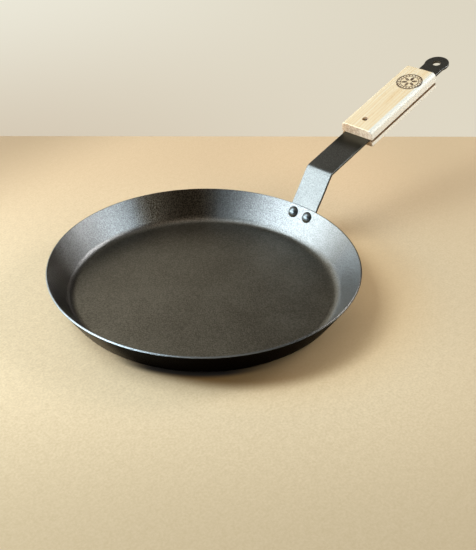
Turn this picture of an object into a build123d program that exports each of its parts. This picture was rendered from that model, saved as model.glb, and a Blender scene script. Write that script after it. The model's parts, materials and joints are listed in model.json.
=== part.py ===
"""Crepe pan: a pressed steel dish, a bent flat-bar handle riveted to its wall, and a two-part wooden grip.

Millimetres. The origin is the centre of the dish's underside, +Z is up and the handle runs along +X.
"""
import os
from math import acos, asin, atan2, cos, degrees, radians, sin, sqrt, tan

from build123d import *

# Dish, pressed from one sheet
rim_diameter = 305.0
dish_height = 33.0
sheet = 2.0
wall_angle = 59.0
bend_inner_radius = 10.0
rim_edge_break = 0.5

# Handle bar: it hugs the wall, flattens past the rim, rises to its one bend and turns outwards
bar_width = 33.0
bar_thickness = 3.0
bar_edge_break = 0.5
bar_seat_length = 19.0
bar_seat_corner_radius = 5.0
bar_seat_rise = 2.0
bar_flattening_length = 18.0
bar_rise_past_rim = 43.4
bar_bend_inner_radius = 5.5
handle_angle = 16.4

# Far end of the bar, measured along the handle from the bend
bar_taper_start = 110.0
bar_neck_start = 192.0
bar_neck_width = 25.4
neck_blend_radius = 12.0
eye_centre = 227.5
eye_flare = 1.7
hanging_hole_radius = 5.0

# Rivets through the wall and the bar
rivet_below_rim = 9.0
rivet_spacing = 19.0
rivet_shank_radius = 2.5
rivet_hole_clearance = 0.1
rivet_head_radius = 6.2
rivet_head_height = 3.8
rivet_tail_radius = 4.6
rivet_tail_height = 1.8
rivet_head_trim = 0.6

# Grip: a thick wooden scale on the bar and a thinner one under it, measured along the handle from the bend
grip_start = 68.0
grip_length = 127.0
grip_width = 41.0
upper_scale_thickness = 11.5
upper_scale_radius = 5.0
lower_scale_thickness = 6.2
lower_scale_radius = 2.0
scale_end_radius = 1.2

# Grip screws: the front one is driven from above and the rear one from below
screw_end_distance = 17.0
screw_recess_radius = 3.5
upper_recess_depth = 4.5
lower_recess_depth = 2.6
screw_head_radius = 3.3
screw_head_height = 1.6
screw_head_side = 0.6
screw_shank_radius = 1.8
screw_tip_length = 3.0
screw_tip_cover = 1.4
screw_hole_clearance = 0.1

# How far a cutting shape runs past the face that it leaves by
overrun = 4.0

# A face of the bar is one of its sides where its normal leans at least this much of the way across
side_face_share = 0.2

wall_tilt = radians(wall_angle)
handle_tilt = radians(handle_angle)
rim_radius = rim_diameter / 2
bend_outer_radius = bend_inner_radius + sheet
rim_outer_height = dish_height - sheet * cos(wall_tilt)
bend_height = bend_outer_radius * (1 - cos(wall_tilt))
wall_reach = (rim_outer_height - bend_height) / tan(wall_tilt)
floor_radius = rim_radius - wall_reach - bend_outer_radius * sin(wall_tilt)
eye_radius = bar_neck_width / 2 + eye_flare
rivet_azimuth = degrees(asin(rivet_spacing / 2 / (rim_radius - rivet_below_rim * cos(wall_tilt))))

# Sizes of the grip by side: 1 is above the bar and -1 is below it
scale_thickness = {1: upper_scale_thickness, -1: lower_scale_thickness}
scale_radius = {1: upper_scale_radius, -1: lower_scale_radius}
screw_places = {1: grip_start + screw_end_distance, -1: grip_start + grip_length - screw_end_distance}
# How far a screw head's seat stands out of the bar's face, and the length of both screws below their heads
screw_seats = {1: upper_scale_thickness - upper_recess_depth, -1: lower_scale_thickness - lower_recess_depth}
screw_length = screw_seats[1] + bar_thickness + lower_scale_thickness - screw_tip_cover

# Wall frame: on the wall's outer face at the rim, X up the wall and Z into the dish
wall_frame = Plane(
    origin=(rim_radius, 0, rim_outer_height),
    x_dir=(cos(wall_tilt), 0, sin(wall_tilt)),
    z_dir=(-sin(wall_tilt), 0, cos(wall_tilt)),
)
# Side frame: the same place and X, with Y into the dish, for sections of the bar seen from its side
side_frame = Plane(origin=wall_frame.origin, x_dir=wall_frame.x_dir, z_dir=(0, -1, 0))
# Handle frame: on the bar's upper face at the bend, X along the handle and Z up out of that face
handle_frame = Plane(
    origin=wall_frame.from_local_coords((bar_rise_past_rim, 0, 0)),
    x_dir=(cos(handle_tilt), 0, sin(handle_tilt)),
    z_dir=(-sin(handle_tilt), 0, cos(handle_tilt)),
)
bar_middle = Plane.XY.offset(-bar_thickness / 2)


def dish():
    """Dish turned from its half section: flat floor, round bend, straight flared wall and eased rim."""
    bend_centre = (floor_radius, bend_outer_radius)
    outer_bend = CenterArc(bend_centre, bend_outer_radius, -90, wall_angle)
    inner_bend = CenterArc(bend_centre, bend_inner_radius, wall_angle - 90, -wall_angle)
    rim_outer = (rim_radius, rim_outer_height)
    rim_inner = (rim_radius - sheet * sin(wall_tilt), dish_height)
    section = make_face(
        [
            Line((0, 0), outer_bend @ 0),
            outer_bend,
            Line(outer_bend @ 1, rim_outer),
            Line(rim_outer, rim_inner),
            Line(rim_inner, inner_bend @ 0),
            inner_bend,
            Line(inner_bend @ 1, (0, sheet)),
            Line((0, sheet), (0, 0)),
        ]
    )
    section = fillet(section.vertices().sort_by(Axis.Y)[-2:], rim_edge_break)
    return revolve(Plane.XZ * section, Axis.Z)


def bar_seat():
    """Lower end of the bar, curved to lie on the wall, with rounded corners."""
    length = bar_seat_length + bar_seat_rise
    strip = Rectangle(length + 2 * overrun, bar_thickness, align=(Align.MIN, Align.MAX))
    strip = side_frame * Pos(-bar_seat_length - overrun) * strip
    lowest_radius = rim_radius - (bar_seat_length + overrun) * cos(wall_tilt)
    half_span = degrees(asin((bar_width / 2 + overrun) / lowest_radius))
    curved = Rot(0, 0, -half_span) * revolve(strip, Axis.Z, 2 * half_span)
    outline = Rectangle(length, bar_width, align=(Align.MIN, Align.CENTER))
    outline = fillet(outline.vertices().sort_by(Axis.X)[:2], bar_seat_corner_radius)
    blank = extrude(outline, bar_thickness + overrun, both=True)
    return curved & wall_frame * Pos(-bar_seat_length) * blank


def bar_flattening(seat):
    """Stretch above the rim where the bar's curved section flattens out."""
    curved_end = seat.faces().sort_by(Axis(wall_frame.origin, wall_frame.x_dir))[-1]
    flat_frame = Plane(
        origin=wall_frame.from_local_coords((bar_seat_rise + bar_flattening_length, 0, 0)),
        x_dir=(0, 1, 0),
        z_dir=wall_frame.x_dir,
    )
    flat_end = flat_frame * Rectangle(bar_width, bar_thickness, align=(Align.CENTER, Align.MAX))
    return loft([curved_end, flat_end.face()], ruled=True)


def bar_bend():
    """Flat stretch up to the bend, the bend, and the stretch beyond it up to the grip."""
    turn = wall_tilt - handle_tilt
    start = bar_seat_rise + bar_flattening_length
    end_x = bar_rise_past_rim + grip_start * cos(turn)
    end_y = -grip_start * sin(turn)
    upper = FilletPolyline(
        (start, 0),
        (bar_rise_past_rim, 0),
        (end_x, end_y),
        radius=bar_bend_inner_radius + bar_thickness,
    )
    lower = FilletPolyline(
        (end_x - bar_thickness * sin(turn), end_y - bar_thickness * cos(turn)),
        (bar_rise_past_rim - bar_thickness * tan(turn / 2), -bar_thickness),
        (start, -bar_thickness),
        radius=bar_bend_inner_radius,
    )
    section = make_face([upper, Line(upper @ 1, lower @ 0), lower, Line(lower @ 1, upper @ 0)])
    return extrude(side_frame * section, bar_width / 2, both=True)


def bar_far_end():
    """Bar from the grip's start on, in the handle frame: a taper inside the grip, a neck and a round eye."""
    blend_y = bar_neck_width / 2 + neck_blend_radius
    blend_x = eye_centre - sqrt((eye_radius + neck_blend_radius) ** 2 - blend_y**2)
    meeting = degrees(atan2(-blend_y, eye_centre - blend_x))
    start = (grip_start, bar_width / 2)
    shoulder = (bar_taper_start, bar_width / 2)
    neck_start = (bar_neck_start, bar_neck_width / 2)
    neck_end = (blend_x, bar_neck_width / 2)
    side = [
        Line(start, shoulder),
        Line(shoulder, neck_start),
        Line(neck_start, neck_end),
        CenterArc((blend_x, blend_y), neck_blend_radius, -90, meeting + 90),
        CenterArc((eye_centre, 0), eye_radius, meeting + 180, -meeting - 180),
    ]
    other_side = [mirror(edge, Plane.XZ) for edge in side]
    closing = Line(start, (grip_start, -bar_width / 2))
    outline = make_face(side + other_side + [closing])
    return extrude(outline, -bar_thickness)


def through_hole(radius):
    """Cutter along Z that passes through the bar, whose upper face is at Z zero."""
    return Pos(0, 0, overrun) * Cylinder(
        radius, bar_thickness + 2 * overrun, align=(Align.CENTER, Align.CENTER, Align.MAX)
    )


def eased(strip):
    """Bar with its long edges eased, on both faces, from the seat's corners round to the eye."""
    side_edges = []
    for face in strip.faces():
        if abs(face.normal_at().Y) > side_face_share:
            side_edges += face.edges()
    long_edges = [edge for edge in side_edges if side_edges.count(edge) == 1]
    return fillet(long_edges, bar_edge_break)


def bar():
    """Whole handle bar, with its screw holes and without its rivet holes."""
    seat = bar_seat()
    strip = eased(seat + bar_flattening(seat) + bar_bend() + handle_frame * bar_far_end())
    strip -= handle_frame * Pos(eye_centre) * through_hole(hanging_hole_radius)
    for place in screw_places.values():
        strip -= handle_frame * Pos(place) * through_hole(screw_shank_radius + screw_hole_clearance)
    return strip


def at_rivet(side, shape):
    """Shape moved from its own origin to a rivet's place on the wall's outer face, its Z into the dish."""
    return Rot(0, 0, side * rivet_azimuth) * (wall_frame * (Pos(-rivet_below_rim) * shape))


def rivet_hole(side):
    """Cutter for one rivet's hole through the wall and the bar."""
    radius = rivet_shank_radius + rivet_hole_clearance
    return at_rivet(side, Cylinder(radius, 2 * (sheet + bar_thickness)))


def dome_arc(radius, base, top):
    """Arc of a round head's half section, from its edge at height base to its axis at height top."""
    rise = top - base
    ball = (radius**2 + rise**2) / (2 * rise)
    edge_angle = degrees(acos(radius / ball))
    return CenterArc((0, top - ball), ball, edge_angle, 90 - edge_angle)


def domed_head(radius, height, skirt):
    """Round head about Z: a dome above the origin and a skirt of the same radius below it."""
    dome = dome_arc(radius, 0, height)
    section = make_face(
        [
            dome,
            Line(dome @ 1, (0, -skirt)),
            Line((0, -skirt), (radius, -skirt)),
            Line((radius, -skirt), dome @ 0),
        ]
    )
    return revolve(Plane.XZ * section, Axis.Z)


def rivet(side, wall, strip):
    """Rivet with a domed head inside the dish and a flatter one under the bar, each trimmed to what it sits on."""
    head = Pos(0, 0, sheet) * domed_head(rivet_head_radius, rivet_head_height, rivet_head_trim)
    tail = Rot(180, 0, 0) * domed_head(rivet_tail_radius, rivet_tail_height, rivet_head_trim)
    tail = Pos(0, 0, -bar_thickness) * tail
    shank = Pos(0, 0, -bar_thickness - rivet_head_trim) * Cylinder(
        rivet_shank_radius,
        bar_thickness + sheet + 2 * rivet_head_trim,
        align=(Align.CENTER, Align.CENTER, Align.MIN),
    )
    heads = at_rivet(side, head) - wall + (at_rivet(side, tail) - strip)
    return heads + at_rivet(side, shank)


def grip_scale(side):
    """Scale in the handle frame, on the bar's upper face for side 1 and under its lower face for side -1."""
    section = Rectangle(grip_width, scale_thickness[side], align=(Align.CENTER, Align.MIN))
    section = fillet(section.vertices().sort_by(Axis.Y)[-2:], scale_radius[side])
    body = extrude(Plane.YZ.offset(grip_start) * section, grip_length)
    seat_edges = body.faces().sort_by(Axis.Z)[0].edges()
    body = fillet(body.faces().filter_by(Axis.X).edges() - seat_edges, scale_end_radius)
    body -= Pos(screw_places[side]) * screw_recess(side)
    # The other screw's bore is the far part of that screw's own path, so it comes from the facing scale
    body -= mirror(Pos(screw_places[-side]) * screw_bore(-side), bar_middle)
    return body if side > 0 else mirror(body, bar_middle)


def screw_bore(side):
    """Cutter for the screw's shank and tip, from its head's seat down, in the handle frame."""
    radius = screw_shank_radius + screw_hole_clearance
    return Pos(0, 0, screw_seats[side]) * Cylinder(
        radius, screw_length + screw_hole_clearance, align=(Align.CENTER, Align.CENTER, Align.MAX)
    )


def screw_recess(side):
    """Cutter for the head's recess in the scale's back, with the shank's bore below it."""
    depth = scale_thickness[side] - screw_seats[side] + overrun
    recess = Cylinder(screw_recess_radius, depth, align=(Align.CENTER, Align.CENTER, Align.MIN))
    return Pos(0, 0, screw_seats[side]) * recess + screw_bore(side)


def grip_screw(side):
    """Screw in the handle frame, driven down from above for side 1 and up from below for side -1."""
    dome = dome_arc(screw_head_radius, screw_head_side, screw_head_height)
    points = [
        dome @ 1,
        (0, -screw_length),
        (screw_shank_radius, screw_tip_length - screw_length),
        (screw_shank_radius, 0),
        (screw_head_radius, 0),
        dome @ 0,
    ]
    section = make_face([dome, Polyline(*points)])
    screw = revolve(Plane.XZ * section, Axis.Z)
    screw = Pos(screw_places[side], 0, screw_seats[side]) * screw
    return screw if side > 0 else mirror(screw, bar_middle)


def build():
    """Every piece of the pan by its node's name."""
    wall = dish()
    strip = bar()
    holes = rivet_hole(1) + rivet_hole(-1)
    return {
        "pan_body": wall - holes,
        "handle_bar": strip - holes,
        "left_pan_rivet": rivet(1, wall, strip),
        "right_pan_rivet": rivet(-1, wall, strip),
        "upper_grip_scale": handle_frame * grip_scale(1),
        "lower_grip_scale": handle_frame * grip_scale(-1),
        "front_grip_screw": handle_frame * grip_screw(1),
        "rear_grip_screw": handle_frame * grip_screw(-1),
    }


os.makedirs("parts", exist_ok=True)
for name, piece in build().items():
    export_step(piece, f"parts/{name}.step")
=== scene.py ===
"""Crepe pan on a paper-covered table in front of a pale wall, lit mostly by a low soft box from the left.

Metres. The handle runs along +X and the table's top is at Z zero.
"""

import json
from math import cos, pi, radians, sin

import bpy
from mathutils import Matrix, Vector


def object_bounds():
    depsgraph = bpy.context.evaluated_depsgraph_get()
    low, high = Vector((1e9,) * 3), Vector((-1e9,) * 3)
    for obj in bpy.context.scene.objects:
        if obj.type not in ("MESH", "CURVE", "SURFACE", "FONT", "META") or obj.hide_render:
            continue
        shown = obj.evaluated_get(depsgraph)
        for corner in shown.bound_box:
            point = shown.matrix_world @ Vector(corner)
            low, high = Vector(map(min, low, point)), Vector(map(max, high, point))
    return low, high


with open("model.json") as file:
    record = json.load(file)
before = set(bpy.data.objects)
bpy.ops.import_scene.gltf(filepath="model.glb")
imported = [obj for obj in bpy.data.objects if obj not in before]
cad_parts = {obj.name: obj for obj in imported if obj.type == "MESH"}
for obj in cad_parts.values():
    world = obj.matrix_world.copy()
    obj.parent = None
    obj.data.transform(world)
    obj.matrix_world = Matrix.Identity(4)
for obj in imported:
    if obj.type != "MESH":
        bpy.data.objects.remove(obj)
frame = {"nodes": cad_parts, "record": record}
cad_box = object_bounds()


def srgb(red, green, blue):
    """Colour written as a screen shows it, from 0 to 255, as the linear one that a shader takes."""
    shares = [value / 255 for value in (red, green, blue)]
    linear = [s / 12.92 if s <= 0.04045 else ((s + 0.055) / 1.055) ** 2.4 for s in shares]
    return (*linear, 1.0)


def node_points(node):
    """Places of the points of a node's mesh."""
    piece = frame["nodes"][node]
    return [piece.matrix_world @ vertex.co for vertex in piece.data.vertices]


# The camera's directions on the table, seen from above the pan
view_azimuth = radians(45.24)
away = Vector((cos(view_azimuth), sin(view_azimuth), 0))
right = Vector((sin(view_azimuth), -cos(view_azimuth), 0))
up = Vector((0, 0, 1))


def side_at(bearing):
    """Direction on the table by its bearing in degrees, with 0 towards the camera and 90 to its right."""
    return right * sin(radians(bearing)) - away * cos(radians(bearing))


# Camera: it stands back from the pan's middle, dips down to it and turns a little to its right
camera_distance = 0.706
camera_height = 0.4736
camera_turn = radians(2.64)
camera_dip = radians(32.99)
camera_roll = radians(0.8)
frame_width_mm = 36.0
lens_mm = 64.57

# Table: its far edge is the line behind the handle, and comes a little nearer towards the right
table_far_edge = 0.369
table_edge_turn = radians(0.88)
table_near_edge = 3.0
table_half_width = 3.0

# Pan: its rim reaches as far as the box on the side without the handle, and its foot is flat on the table
flatness = 0.00001
rim_radius = -cad_box[0][0]
foot_radius = max(point.xy.length for point in node_points("pan_body") if point.z < flatness)

# Handle: its directions and its far eye are those of the hole that it hangs by
hanging_hole = next(m for m in frame["record"]["mounts"] if m["name"] == "hanging_hole")
handle_up = Vector(hanging_hole["axis"])
handle_along = Vector((handle_up.z, 0, -handle_up.x))
handle_eye = Vector(hanging_hole["pos_m"])
bar_half_thickness = hanging_hole["dims"]["length_mm"] / 2000

# Grip: where it starts along the handle, seen from the eye, and how far it reaches to each side
grip_points = node_points("upper_grip_scale")
grip_start = min((point - handle_eye).dot(handle_along) for point in grip_points)
grip_half_width = max(point.y for point in grip_points)

# Range in which most of a noise's values lie, and a fine noise's share where it is mixed with a coarse one
noise_range = (0.3, 0.7)
fine_share = 0.75

# Shares of a stroke's width within which it is full, and beyond which it is gone
stroke_edges = (0.3, 0.7)

# Steel: the size of its clouds, and the size and depth of its speckle on each kind of piece
steel_cloud_size = 0.05
steel_grain = 0.0013
rivet_grain = 0.0009
screw_grain = 0.0006
steel_grain_depth = 0.0003
bar_grain_depth = 0.000075
rivet_grain_depth = 0.00002
screw_grain_depth = 0.00001
speckle_range = (0.34, 0.66)

# Steel's roughness, how far it varies, and how little its dull underside shines
pan_roughness = 0.3
bar_roughness = 0.34
rivet_roughness = 0.32
screw_roughness = 0.3
roughness_spread = 0.02
underside_gloss = 0.004

# Each steel's darker and lighter colours
pan_colours = (srgb(108, 107, 106), srgb(145, 145, 144))
bar_colours = (srgb(102, 102, 100), srgb(128, 128, 126))
rivet_colours = (srgb(114, 120, 122), srgb(136, 142, 144))
screw_colours = (srgb(104, 94, 82), srgb(124, 112, 98))

# Steel facing down, painted dull brown as a painted reflection of the lit paper: how far up it faces where
# that begins to fade and where it has gone, and the painted shade that covers it under the pan's front
underside_facing = (-0.1, 0.3)
painted_underside_colours = (srgb(68, 60, 49), srgb(92, 83, 69))
painted_front_shade = srgb(5, 3, 2)
front_shade_side = side_at(20.4)
front_shade_start = 0.07
front_shade_full = 0.1

# Floor of the pan, which is browner than the flare, and where the flare begins
floor_colours = (srgb(111, 108, 101), srgb(149, 146, 137))
flare_start = foot_radius - 0.0005
flare_full = foot_radius + 0.0095

# Round the flare: a heat stain at the back, painted shade at the left and a painted reflection at the right;
# each one's side, where it starts and is full by its cosine, and its colours
flare_stains_and_painted_light = [
    (side_at(-167.0), 0.93, 0.99, srgb(72, 60, 44), srgb(150, 135, 116)),
    (side_at(-75.5), 0.88, 0.97, srgb(76, 73, 68), srgb(88, 86, 81)),
    (side_at(82.0), 0.92, 0.985, srgb(122, 125, 128), srgb(163, 168, 173)),
]

# Rim: a band of steel worn bright, full at half its width, which painted shade covers towards the right
rim_wear_width = 0.0013
rim_wear_full = 0.5
rim_steel = srgb(152, 158, 162)
painted_rim_shade = srgb(74, 71, 66)
rim_shade_start = 0.02
rim_shade_full = 0.1

# Bar: painted shade on the steel next to the grip
grip_shade_length = 0.045
painted_grip_shade = srgb(66, 64, 57)

# Wood's texture: how far each pattern is drawn out along and across the grain. A wave texture of scale 1
# repeats after wave_length
wave_length = pi / 10
wander_size = (0.09, 0.02)
wander_depth = 0.005
ring_width = 0.0027
streak_size = (0.07, 0.0024)
pore_size = (0.012, 0.0008)
end_spot_size = 0.0024
wood_pore_depth = 0.00008

# Wood's colours, laid over the palest one: the pattern, its range, its full share and its colour
pale_wood = srgb(249, 224, 186)
wood_layers = [
    ("rings", 0.3, 1.0, 0.45, srgb(236, 190, 127)),
    ("streaks", 0.5, 0.75, 0.8, srgb(251, 236, 207)),
    ("streaks", 0.5, 0.25, 0.6, srgb(236, 190, 128)),
    ("pores", 0.6, 0.75, 0.45, srgb(190, 140, 88)),
]

# Wood's shine: wax warms it, and the grip's right edge is smoother and painted paler as a painted highlight
waxed = srgb(255, 238, 214)
wood_gloss = 0.9
wood_refraction = 1.85
wood_roughness = (0.4, 0.5)
edge_smoother = 0.09
painted_edge_highlight = srgb(255, 250, 238)
edge_highlight_start = 0.006 - grip_half_width
edge_highlight_full = 0.003 - grip_half_width

# Ends of the scales, paler towards the right as a painted highlight, with the lower scale's ends in painted
# shade, and the shade of their joint with the bar
end_facing = (0.6, 0.95)
end_share = 0.85
end_spot_range = (0.35, 0.65)
end_spot_share = 0.7
end_highlight_start = 0.012
end_highlight_full = -0.018
end_highlight_share = 0.5
upper_end_colours = (srgb(176, 132, 102), srgb(246, 220, 194))
lower_end_shaded_colours = (srgb(108, 74, 42), srgb(150, 108, 68))
joint_shade = srgb(168, 126, 78)
joint_shade_depth = 0.0006
joint_shade_share = 0.85

# Where in its tree each scale was cut: along the trunk, and off the middle of the growth rings both ways
upper_cut = (0.0, 0.045, 0.03)
lower_cut = (0.31, -0.05, 0.04)

# Plain mark burnt into the upper scale, placed from the hanging hole
burnt_wood = srgb(62, 32, 17)
mark_along = -0.0605
mark_across = -0.003
mark_radius = 0.0142
mark_inner_radius = 0.0104
mark_border_radius = 0.0123
mark_border_width = 0.0019
mark_petal_length = 0.0094
mark_centre_radius = 0.0022
mark_line = 0.0017
mark_inner_line = 0.00102
mark_petal_edges = (-0.00068, 0.00034)
mark_centre_edge = 0.00085
mark_strokes = 22.0
mark_stroke_range = (-0.1, 0.5)
mark_petal_pairs = 3.0
mark_patch_size = 0.005
mark_patch_range = (0.35, 0.6)
mark_patch_shares = (0.78, 1.0)
mark_height = (0.006, 0.009)
mark_depth = 3.0

# Paper: its fibres, its clouds and its two colours
fibre_size = 0.0022
fibre_depth = 0.00008
paper_cloud_size = 0.007
paper_roughness = 0.9
paper_colours = (srgb(222, 194, 155), srgb(242, 216, 178))

# Paper's painted shades, darker towards the camera, the back, the back left and the right: each one's
# direction, where it starts and is full, its full share and its colour
painted_paper_shades = [
    (-away, 0.1, 0.34, 0.65, srgb(176, 152, 118)),
    (away, 0.0, 0.3, 0.6, srgb(222, 182, 139)),
    (side_at(-126.9), 0.26, 0.44, 0.8, srgb(176, 146, 112)),
    (right, 0.1, 0.32, 0.55, srgb(196, 170, 134)),
]

# Painted warm light in the pan's shade on the paper, round a point to the pan's right
painted_warm_light = srgb(246, 203, 146)
warm_shift = 0.05
warm_inner_radius = 0.1
warm_outer_radius = 0.2
warm_share = 0.75

# Shade of the pan's rim on the paper, round a point to the right, fading by bearing from the pan's front
shaded_paper = srgb(130, 84, 12)
shade_shift = 0.036
shade_blur = 0.009
shade_share = 0.95
shade_bearings = (radians(-10), radians(90))
shade_front = 0.05

# Painted shade on the paper under the front of the flare, fading to each side by bearing
painted_contact_shade = srgb(24, 14, 6)
contact_inner_radius = foot_radius + 0.0075
contact_outer_radius = foot_radius + 0.015
contact_share = 0.97
contact_left_bearings = (radians(-40), radians(-20))
contact_right_bearings = (radians(5), radians(35))

# Wall behind the table, by direction: each band's heights, its spread to the sides and its colours there
lowest_wall = (0.3, srgb(211, 198, 177), srgb(224, 216, 197))
wall_bands = [
    ((-0.43, -0.22), 0.3, srgb(238, 235, 220), srgb(221, 214, 195)),
    ((-0.23, 0.02), 0.23, srgb(236, 227, 207), srgb(58, 49, 36)),
]
wall_side = side_at(-156.0)
wall_side_full = 0.609
dim_room = srgb(44, 36, 26)

# Ceiling, by direction: each band's heights and its colour
ceiling_bands = [
    ((0.5, 0.8), srgb(84, 81, 73)),
    ((0.8, 0.95), srgb(160, 154, 144)),
]

# Soft boxes: how far each stands to the right, away and up, its width and height, its level and its colour
daylight = (0.78, 0.92, 1.0)
plain_white = (0.94, 0.95, 0.96)
soft_boxes = {
    "key_soft_box": (-1.37, -0.48, 0.53, 1.95, 0.7, 7.3, daylight),
    "high_soft_box": (-1.1, 0.1, 1.4, 1.2, 0.9, 5.8, daylight),
    "fill_soft_box": (1.23, -0.24, 0.42, 0.47, 0.6, 7.2, daylight),
    "left_soft_box": (-1.25, 0.62, 0.26, 0.6, 0.4, 4.4, daylight),
    "right_soft_box": (1.14, 0.43, 0.72, 0.44, 0.44, 10.0, plain_white),
}


class Graph:
    """Node tree of a material or of the world, with short ways to add what it needs."""

    def __init__(self, owner):
        owner.use_nodes = True
        self.tree = owner.node_tree
        self.tree.nodes.clear()

    def add(self, kind, inputs=(), **settings):
        """Adds a node; an input is a value or another node's output."""
        made = self.tree.nodes.new(f"ShaderNode{kind}")
        for name, value in settings.items():
            setattr(made, name, value)
        for name, value in dict(inputs).items():
            if isinstance(value, bpy.types.NodeSocket):
                self.tree.links.new(value, made.inputs[name])
            else:
                made.inputs[name].default_value = value
        return made

    def math(self, operation, *values):
        return self.add("Math", enumerate(values), operation=operation).outputs[0]

    def product(self, first, *others):
        for other in others:
            first = self.math("MULTIPLY", first, other)
        return first

    def vector(self, operation, *values):
        """Vector that comes from others."""
        return self.add("VectorMath", enumerate(values), operation=operation).outputs[0]

    def measure(self, operation, *values):
        """Number that comes from vectors, such as a length."""
        return self.add("VectorMath", enumerate(values), operation=operation).outputs["Value"]

    def dot(self, vector, direction):
        return self.measure("DOT_PRODUCT", vector, direction)

    def parts(self, vector):
        """The vector's three numbers."""
        return self.add("SeparateXYZ", {0: vector}).outputs

    def fit(self, value, low, high, to_low=0.0, to_high=1.0):
        """Value carried smoothly from one range to another, and held at its ends."""
        inputs = {0: value, 1: low, 2: high, 3: to_low, 4: to_high}
        return self.add("MapRange", inputs, interpolation_type="SMOOTHSTEP").outputs[0]

    def blend(self, share, first, second):
        """Colour between the first and the second."""
        inputs = {0: share, 6: first, 7: second}
        return self.add("Mix", inputs, data_type="RGBA").outputs[2]

    def noise(self, place, size, detail=2.0, roughness=0.5):
        """Noise from 0 to 1 whose patches are about that size."""
        inputs = {"Vector": place, "Scale": 1 / size, "Detail": detail, "Roughness": roughness}
        return self.add("TexNoise", inputs).outputs["Fac"]

    def mixed(self, fine, coarse):
        """Fine noise with some of a coarse one."""
        return self.math(
            "ADD", self.math("MULTIPLY", fine, fine_share), self.math("MULTIPLY", coarse, 1 - fine_share)
        )

    def stretched(self, place, along, across):
        """Place squeezed so that a texture made for size 1 is drawn out along the first axis."""
        scale = (1 / along, 1 / across, 1 / across)
        return self.add("Mapping", {"Vector": place, "Scale": scale}).outputs[0]

    def stroke(self, value, middle, width):
        """Share that falls from 1 to 0 about half the width from the middle."""
        away_from_middle = self.math("ABSOLUTE", self.math("SUBTRACT", value, middle))
        full, gone = stroke_edges
        return self.fit(away_from_middle, full * width, gone * width, 1.0, 0.0)

    def bump(self, height, depth):
        inputs = {"Height": height, "Distance": depth, "Strength": 1.0}
        return self.add("Bump", inputs).outputs[0]

    def place(self):
        """The surface's own place, in metres."""
        return self.add("TexCoord").outputs["Object"]

    def handle_place(self):
        """The surface's place in the handle's own directions, from its far eye."""
        inputs = {"Vector": self.place(), "Location": handle_eye}
        inputs["Rotation"] = (0, -handle_along.angle(Vector((1, 0, 0))), 0)
        return self.add("Mapping", inputs, vector_type="TEXTURE").outputs[0]

    def facing(self, direction):
        """How far the surface faces that way, from -1 to 1."""
        return self.dot(self.add("NewGeometry").outputs["Normal"], direction)

    def surface(self, **inputs):
        """Finishes a material with its shader, whose sockets' names are these with spaces and capitals."""
        sockets = {}
        for name, value in inputs.items():
            sockets[name.replace("_", " ").title().replace("Ior", "IOR")] = value
        shader = self.add("BsdfPrincipled", sockets)
        self.add("OutputMaterial", {"Surface": shader.outputs[0]})


def flattened(graph, place):
    """Place as seen from above, and how far that is from the middle."""
    flat = graph.vector("MULTIPLY", place, (1, 1, 0))
    return flat, graph.measure("LENGTH", flat)


def pan_marks(graph, place, speckled, colour):
    """Pan's steel with its browner floor, its flare's heat stain, painted shade and reflection, and its worn
    rim.
    """
    flat, radius = flattened(graph, place)
    flare = graph.fit(radius, flare_start, flare_full)
    colour = graph.blend(flare, graph.blend(speckled, *floor_colours), colour)
    towards = graph.vector("NORMALIZE", flat)
    # A heat stain, painted shade and a painted reflection round the flare
    for side, low, high, *patch_colours in flare_stains_and_painted_light:
        share = graph.product(graph.fit(graph.dot(towards, side), low, high), flare)
        colour = graph.blend(share, colour, graph.blend(speckled, *patch_colours))
    # Painted shade over the worn rim towards the right
    shade_to_right = graph.fit(graph.dot(place, right), rim_shade_start, rim_shade_full)
    wear = graph.fit(radius, rim_radius - rim_wear_width, rim_radius - rim_wear_full * rim_wear_width)
    return graph.blend(wear, colour, graph.blend(shade_to_right, rim_steel, painted_rim_shade))


def bar_marks(graph, colour):
    """Bar's steel with painted shade next to its grip."""
    along = graph.parts(graph.handle_place())[0]
    return graph.blend(graph.stroke(along, grip_start, grip_shade_length), colour, painted_grip_shade)


def steel(name, colours, grain, depth, roughness, is_pan=False, is_bar=False):
    """Dark satin steel with a fine speckle and faint cloudy patches, and painted reflection and shade facing
    down.
    """
    material = bpy.data.materials.new(name)
    graph = Graph(material)
    place = graph.place()
    clouds = graph.noise(place, steel_cloud_size, detail=4.0)
    speckle = graph.noise(place, grain, detail=2.0, roughness=0.6)
    upper_share = graph.fit(graph.facing(up), *underside_facing)
    speckled = graph.fit(graph.mixed(speckle, clouds), *speckle_range)
    colour = graph.blend(speckled, *colours)
    if is_pan:
        colour = pan_marks(graph, place, speckled, colour)
    if is_bar:
        colour = bar_marks(graph, colour)
    # Facing down: a painted dull brown reflection of the paper, and painted shade towards the pan's front
    front_shade_share = graph.fit(graph.dot(place, front_shade_side), front_shade_start, front_shade_full)
    underside = graph.blend(front_shade_share, graph.blend(speckled, *painted_underside_colours), painted_front_shade)
    roughnesses = (roughness - roughness_spread, roughness + roughness_spread)
    graph.surface(
        base_color=graph.blend(upper_share, underside, colour),
        metallic=upper_share,
        roughness=graph.fit(clouds, *noise_range, *roughnesses),
        specular_ior_level=underside_gloss,
        normal=graph.bump(speckle, depth),
    )
    return material


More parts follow.
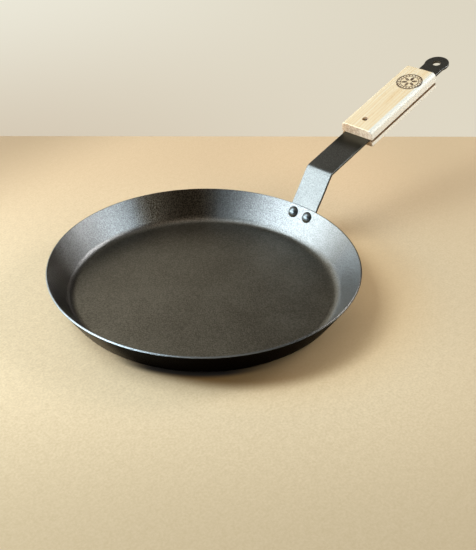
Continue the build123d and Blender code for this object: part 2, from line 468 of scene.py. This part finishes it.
def burnt_mark(graph, place):
    """Share of burn in a plain round mark: two rings, a border of short strokes and a six-petalled flower."""
    flat, radius = flattened(graph, graph.vector("SUBTRACT", place, (mark_along, mark_across, 0)))
    sides = graph.parts(flat)
    angle = graph.math("ARCTAN2", sides[1], sides[0])
    strokes = graph.fit(graph.math("COSINE", graph.product(angle, mark_strokes)), *mark_stroke_range)
    border = graph.stroke(radius, mark_border_radius, mark_border_width)
    petals = graph.math("ABSOLUTE", graph.math("COSINE", graph.product(angle, mark_petal_pairs)))
    petal_edge = graph.math("SUBTRACT", radius, graph.product(petals, mark_petal_length))
    flower = graph.product(
        graph.fit(petal_edge, *mark_petal_edges, 1.0, 0.0),
        graph.fit(radius, mark_centre_radius, mark_centre_radius + mark_centre_edge),
    )
    burn = graph.math("MAXIMUM", flower, graph.product(strokes, border))
    burn = graph.math("MAXIMUM", burn, graph.stroke(radius, mark_radius, mark_line))
    burn = graph.math("MAXIMUM", burn, graph.stroke(radius, mark_inner_radius, mark_inner_line))
    patches = graph.noise(place, mark_patch_size, detail=3.0)
    patchy = graph.fit(patches, *mark_patch_range, *mark_patch_shares)
    return graph.product(burn, patchy, graph.fit(graph.parts(place)[2], *mark_height))


def tree_place(graph, place, cut):
    """Place in the tree that the scale was cut from, with the wander of its trunk."""
    wander = graph.noise(graph.stretched(place, *wander_size), 1.0, detail=2.0)
    return graph.vector("ADD", graph.vector("ADD", place, cut), graph.product(wander, wander_depth))


def growth_rings(graph, in_tree):
    """Growth rings, from 0 to 1 across each."""
    inputs = {"Vector": in_tree, "Scale": wave_length / ring_width}
    inputs |= {"Distortion": 1.5, "Detail": 2.0, "Detail Scale": 0.5}
    wave = graph.add("TexWave", inputs, wave_type="RINGS", rings_direction="X", wave_profile="SAW")
    return wave.outputs["Fac"]


def scale_ends(graph, in_tree, sideways, colour, end_colours):
    """Wood with the spotted end grain of the scale's ends, and a painted highlight towards the right."""
    spots = graph.noise(in_tree, end_spot_size, detail=3.0, roughness=0.6)
    right_end_highlight = graph.fit(sideways, end_highlight_start, end_highlight_full, 0.0, end_highlight_share)
    spots_and_highlight = graph.math("ADD", graph.fit(spots, *end_spot_range, 0.0, end_spot_share), right_end_highlight)
    ends = graph.fit(graph.math("ABSOLUTE", graph.facing(handle_along)), *end_facing, 0.0, end_share)
    return graph.blend(ends, colour, graph.blend(spots_and_highlight, *end_colours))


def oak(name, cut, end_colours, marked=False):
    """Pale waxed wood cut along its grain, from that place in its tree."""
    material = bpy.data.materials.new(name)
    graph = Graph(material)
    place = graph.handle_place()
    sideways, upwards = graph.parts(place)[1:]
    in_tree = tree_place(graph, place, cut)
    patterns = {
        "rings": growth_rings(graph, in_tree),
        "streaks": graph.noise(graph.stretched(in_tree, *streak_size), 1.0, detail=3.0, roughness=0.6),
        "pores": graph.noise(graph.stretched(in_tree, *pore_size), 1.0, detail=2.0, roughness=0.7),
    }
    colour = pale_wood
    for pattern, low, high, share, layer_colour in wood_layers:
        colour = graph.blend(graph.fit(patterns[pattern], low, high, 0.0, share), colour, layer_colour)
    # Painted highlight along the grip's right edge, which is also smoother
    highlighted_edge = graph.fit(sideways, edge_highlight_start, edge_highlight_full)
    colour = graph.blend(highlighted_edge, colour, painted_edge_highlight)
    colour = scale_ends(graph, in_tree, sideways, colour, end_colours)
    joint_range = (bar_half_thickness, bar_half_thickness + joint_shade_depth)
    joint = graph.fit(graph.math("ABSOLUTE", upwards), *joint_range, joint_shade_share, 0.0)
    colour = graph.blend(joint, colour, joint_shade)
    height = graph.product(patterns["pores"], -1.0)
    if marked:
        burn = burnt_mark(graph, place)
        colour = graph.blend(burn, colour, burnt_wood)
        height = graph.math("SUBTRACT", height, graph.product(burn, mark_depth))
    streaked = graph.fit(patterns["streaks"], *noise_range, *wood_roughness)
    graph.surface(
        base_color=colour,
        roughness=graph.math("SUBTRACT", streaked, graph.product(highlighted_edge, edge_smoother)),
        specular_ior_level=wood_gloss,
        specular_tint=waxed,
        ior=wood_refraction,
        normal=graph.bump(height, wood_pore_depth),
    )
    return material


def pan_shade(graph, place, ahead, bearing):
    """Share of the shade that the pan's rim casts on the paper."""
    from_middle = graph.measure("DISTANCE", place, right * shade_shift)
    return graph.product(
        graph.fit(from_middle, rim_radius - shade_blur, rim_radius + shade_blur, 1.0, 0.0),
        graph.fit(bearing, *shade_bearings, shade_share, 0.0),
        graph.fit(ahead, 0.0, shade_front),
    )


def pan_contact(graph, place, bearing):
    """Share of the painted shade on the paper under the front of the pan's flare."""
    from_middle = graph.measure("LENGTH", place)
    return graph.product(
        graph.fit(from_middle, contact_inner_radius, contact_outer_radius, contact_share, 0.0),
        graph.fit(bearing, *contact_right_bearings, 1.0, 0.0),
        graph.fit(bearing, *contact_left_bearings),
    )


def paper(name):
    """Brown wrapping paper with short fibres, with painted shade across it and round the pan and painted warm
    light beside it.
    """
    material = bpy.data.materials.new(name)
    graph = Graph(material)
    place = graph.place()
    fibres = graph.noise(place, fibre_size, detail=3.0, roughness=0.7)
    clouds = graph.noise(place, paper_cloud_size, detail=3.0)
    colour = graph.blend(graph.fit(graph.mixed(fibres, clouds), *noise_range), *paper_colours)
    # Painted shade across the table
    for direction, start, full, share, tint in painted_paper_shades:
        colour = graph.blend(graph.fit(graph.dot(place, direction), start, full, 0.0, share), colour, tint)
    # Painted warm light in the pan's shade to its right
    from_warm_light = graph.measure("DISTANCE", place, right * warm_shift)
    warm_light = graph.fit(from_warm_light, warm_inner_radius, warm_outer_radius, warm_share, 0.0)
    colour = graph.blend(warm_light, colour, painted_warm_light)
    ahead = graph.dot(place, -away)
    bearing = graph.math("ARCTAN2", graph.dot(place, right), ahead)
    colour = graph.blend(pan_shade(graph, place, ahead, bearing), colour, shaded_paper)
    graph.surface(
        base_color=graph.blend(pan_contact(graph, place, bearing), colour, painted_contact_shade),
        roughness=paper_roughness,
        normal=graph.bump(fibres, fibre_depth),
    )
    return material


def cover(node, material):
    """Gives a node's mesh that material alone."""
    mesh = frame["nodes"][node].data
    mesh.materials.clear()
    mesh.materials.append(material)


def soft_box(name, side, back_by, height, width, tall, level, colour):
    """Rectangular lamp at that place by the camera's directions, turned to face the pan.

    Its level is how bright it looks, where 1 is the screen's white.
    """
    lamp = bpy.data.lights.new(name, "AREA")
    lamp.shape = "RECTANGLE"
    lamp.size = width
    lamp.size_y = tall
    lamp.energy = level * width * tall * pi
    lamp.color = colour
    lamp_object = bpy.data.objects.new(name, lamp)
    lamp_object.location = right * side + away * back_by + up * height
    lamp_object.rotation_euler = lamp_object.location.to_track_quat("Z", "Y").to_euler()
    lamp_object.visible_camera = False
    bpy.context.scene.collection.objects.link(lamp_object)


def table():
    """Table top as one sheet of paper."""
    along_edge = right * cos(table_edge_turn) - away * sin(table_edge_turn)
    corners = [
        away * table_far_edge + along_edge * table_half_width,
        away * table_far_edge - along_edge * table_half_width,
        -away * table_near_edge - right * table_half_width,
        -away * table_near_edge + right * table_half_width,
    ]
    mesh = bpy.data.meshes.new("table")
    mesh.from_pydata(corners, [], [(0, 1, 2, 3)])
    mesh.materials.append(paper("wrapping_paper"))
    top = bpy.data.objects.new("table", mesh)
    bpy.context.scene.collection.objects.link(top)


def studio():
    """Room's light: a pale wall behind the pan, and a dimmer room on the camera's side."""
    world = bpy.data.worlds.new("studio")
    bpy.context.scene.world = world
    graph = Graph(world)
    direction = graph.add("TexCoord").outputs["Generated"]
    height = graph.dot(direction, up)
    sideways = graph.dot(direction, right)

    def across(spread, left_colour, right_colour):
        return graph.blend(graph.fit(sideways, -spread, spread), left_colour, right_colour)

    wall = across(*lowest_wall)
    for heights, *band in wall_bands:
        wall = graph.blend(graph.fit(height, *heights), wall, across(*band))
    behind = graph.fit(graph.dot(direction, wall_side), 0.0, wall_side_full)
    colour = graph.blend(behind, dim_room, wall)
    for heights, band_colour in ceiling_bands:
        colour = graph.blend(graph.fit(height, *heights), colour, band_colour)
    background = graph.add("Background", {"Color": colour, "Strength": 1.0})
    graph.add("OutputWorld", {"Surface": background.outputs[0]})


def camera():
    """Camera at the photograph's place."""
    shot = bpy.data.cameras.new("camera")
    shot.sensor_fit = "HORIZONTAL"
    shot.sensor_width = frame_width_mm
    shot.lens = lens_mm
    stand = bpy.data.objects.new("camera", shot)
    heading = Matrix.Rotation(view_azimuth - camera_turn - pi / 2, 4, "Z")
    tilt = Matrix.Rotation(pi / 2 - camera_dip, 4, "X")
    roll = Matrix.Rotation(camera_roll, 4, "Z")
    place = Matrix.Translation(up * camera_height - away * camera_distance)
    stand.matrix_world = place @ heading @ tilt @ roll
    bpy.context.scene.collection.objects.link(stand)
    bpy.context.scene.camera = stand


cover("pan_body", steel("pan_steel", pan_colours, steel_grain, steel_grain_depth, pan_roughness, is_pan=True))
cover(
    "handle_bar",
    steel("bar_steel", bar_colours, steel_grain, bar_grain_depth, bar_roughness, is_bar=True),
)
rivet_steel = steel("rivet_steel", rivet_colours, rivet_grain, rivet_grain_depth, rivet_roughness)
screw_steel = steel("screw_steel", screw_colours, screw_grain, screw_grain_depth, screw_roughness)
for node in ("left_pan_rivet", "right_pan_rivet"):
    cover(node, rivet_steel)
for node in ("front_grip_screw", "rear_grip_screw"):
    cover(node, screw_steel)
cover("upper_grip_scale", oak("upper_oak", upper_cut, upper_end_colours, marked=True))
# The lower scale's ends are in painted shade under the bar
cover("lower_grip_scale", oak("lower_oak", lower_cut, lower_end_shaded_colours))

table()
studio()
for name, values in soft_boxes.items():
    soft_box(name, *values)
camera()

bpy.context.scene.view_settings.view_transform = "Standard"
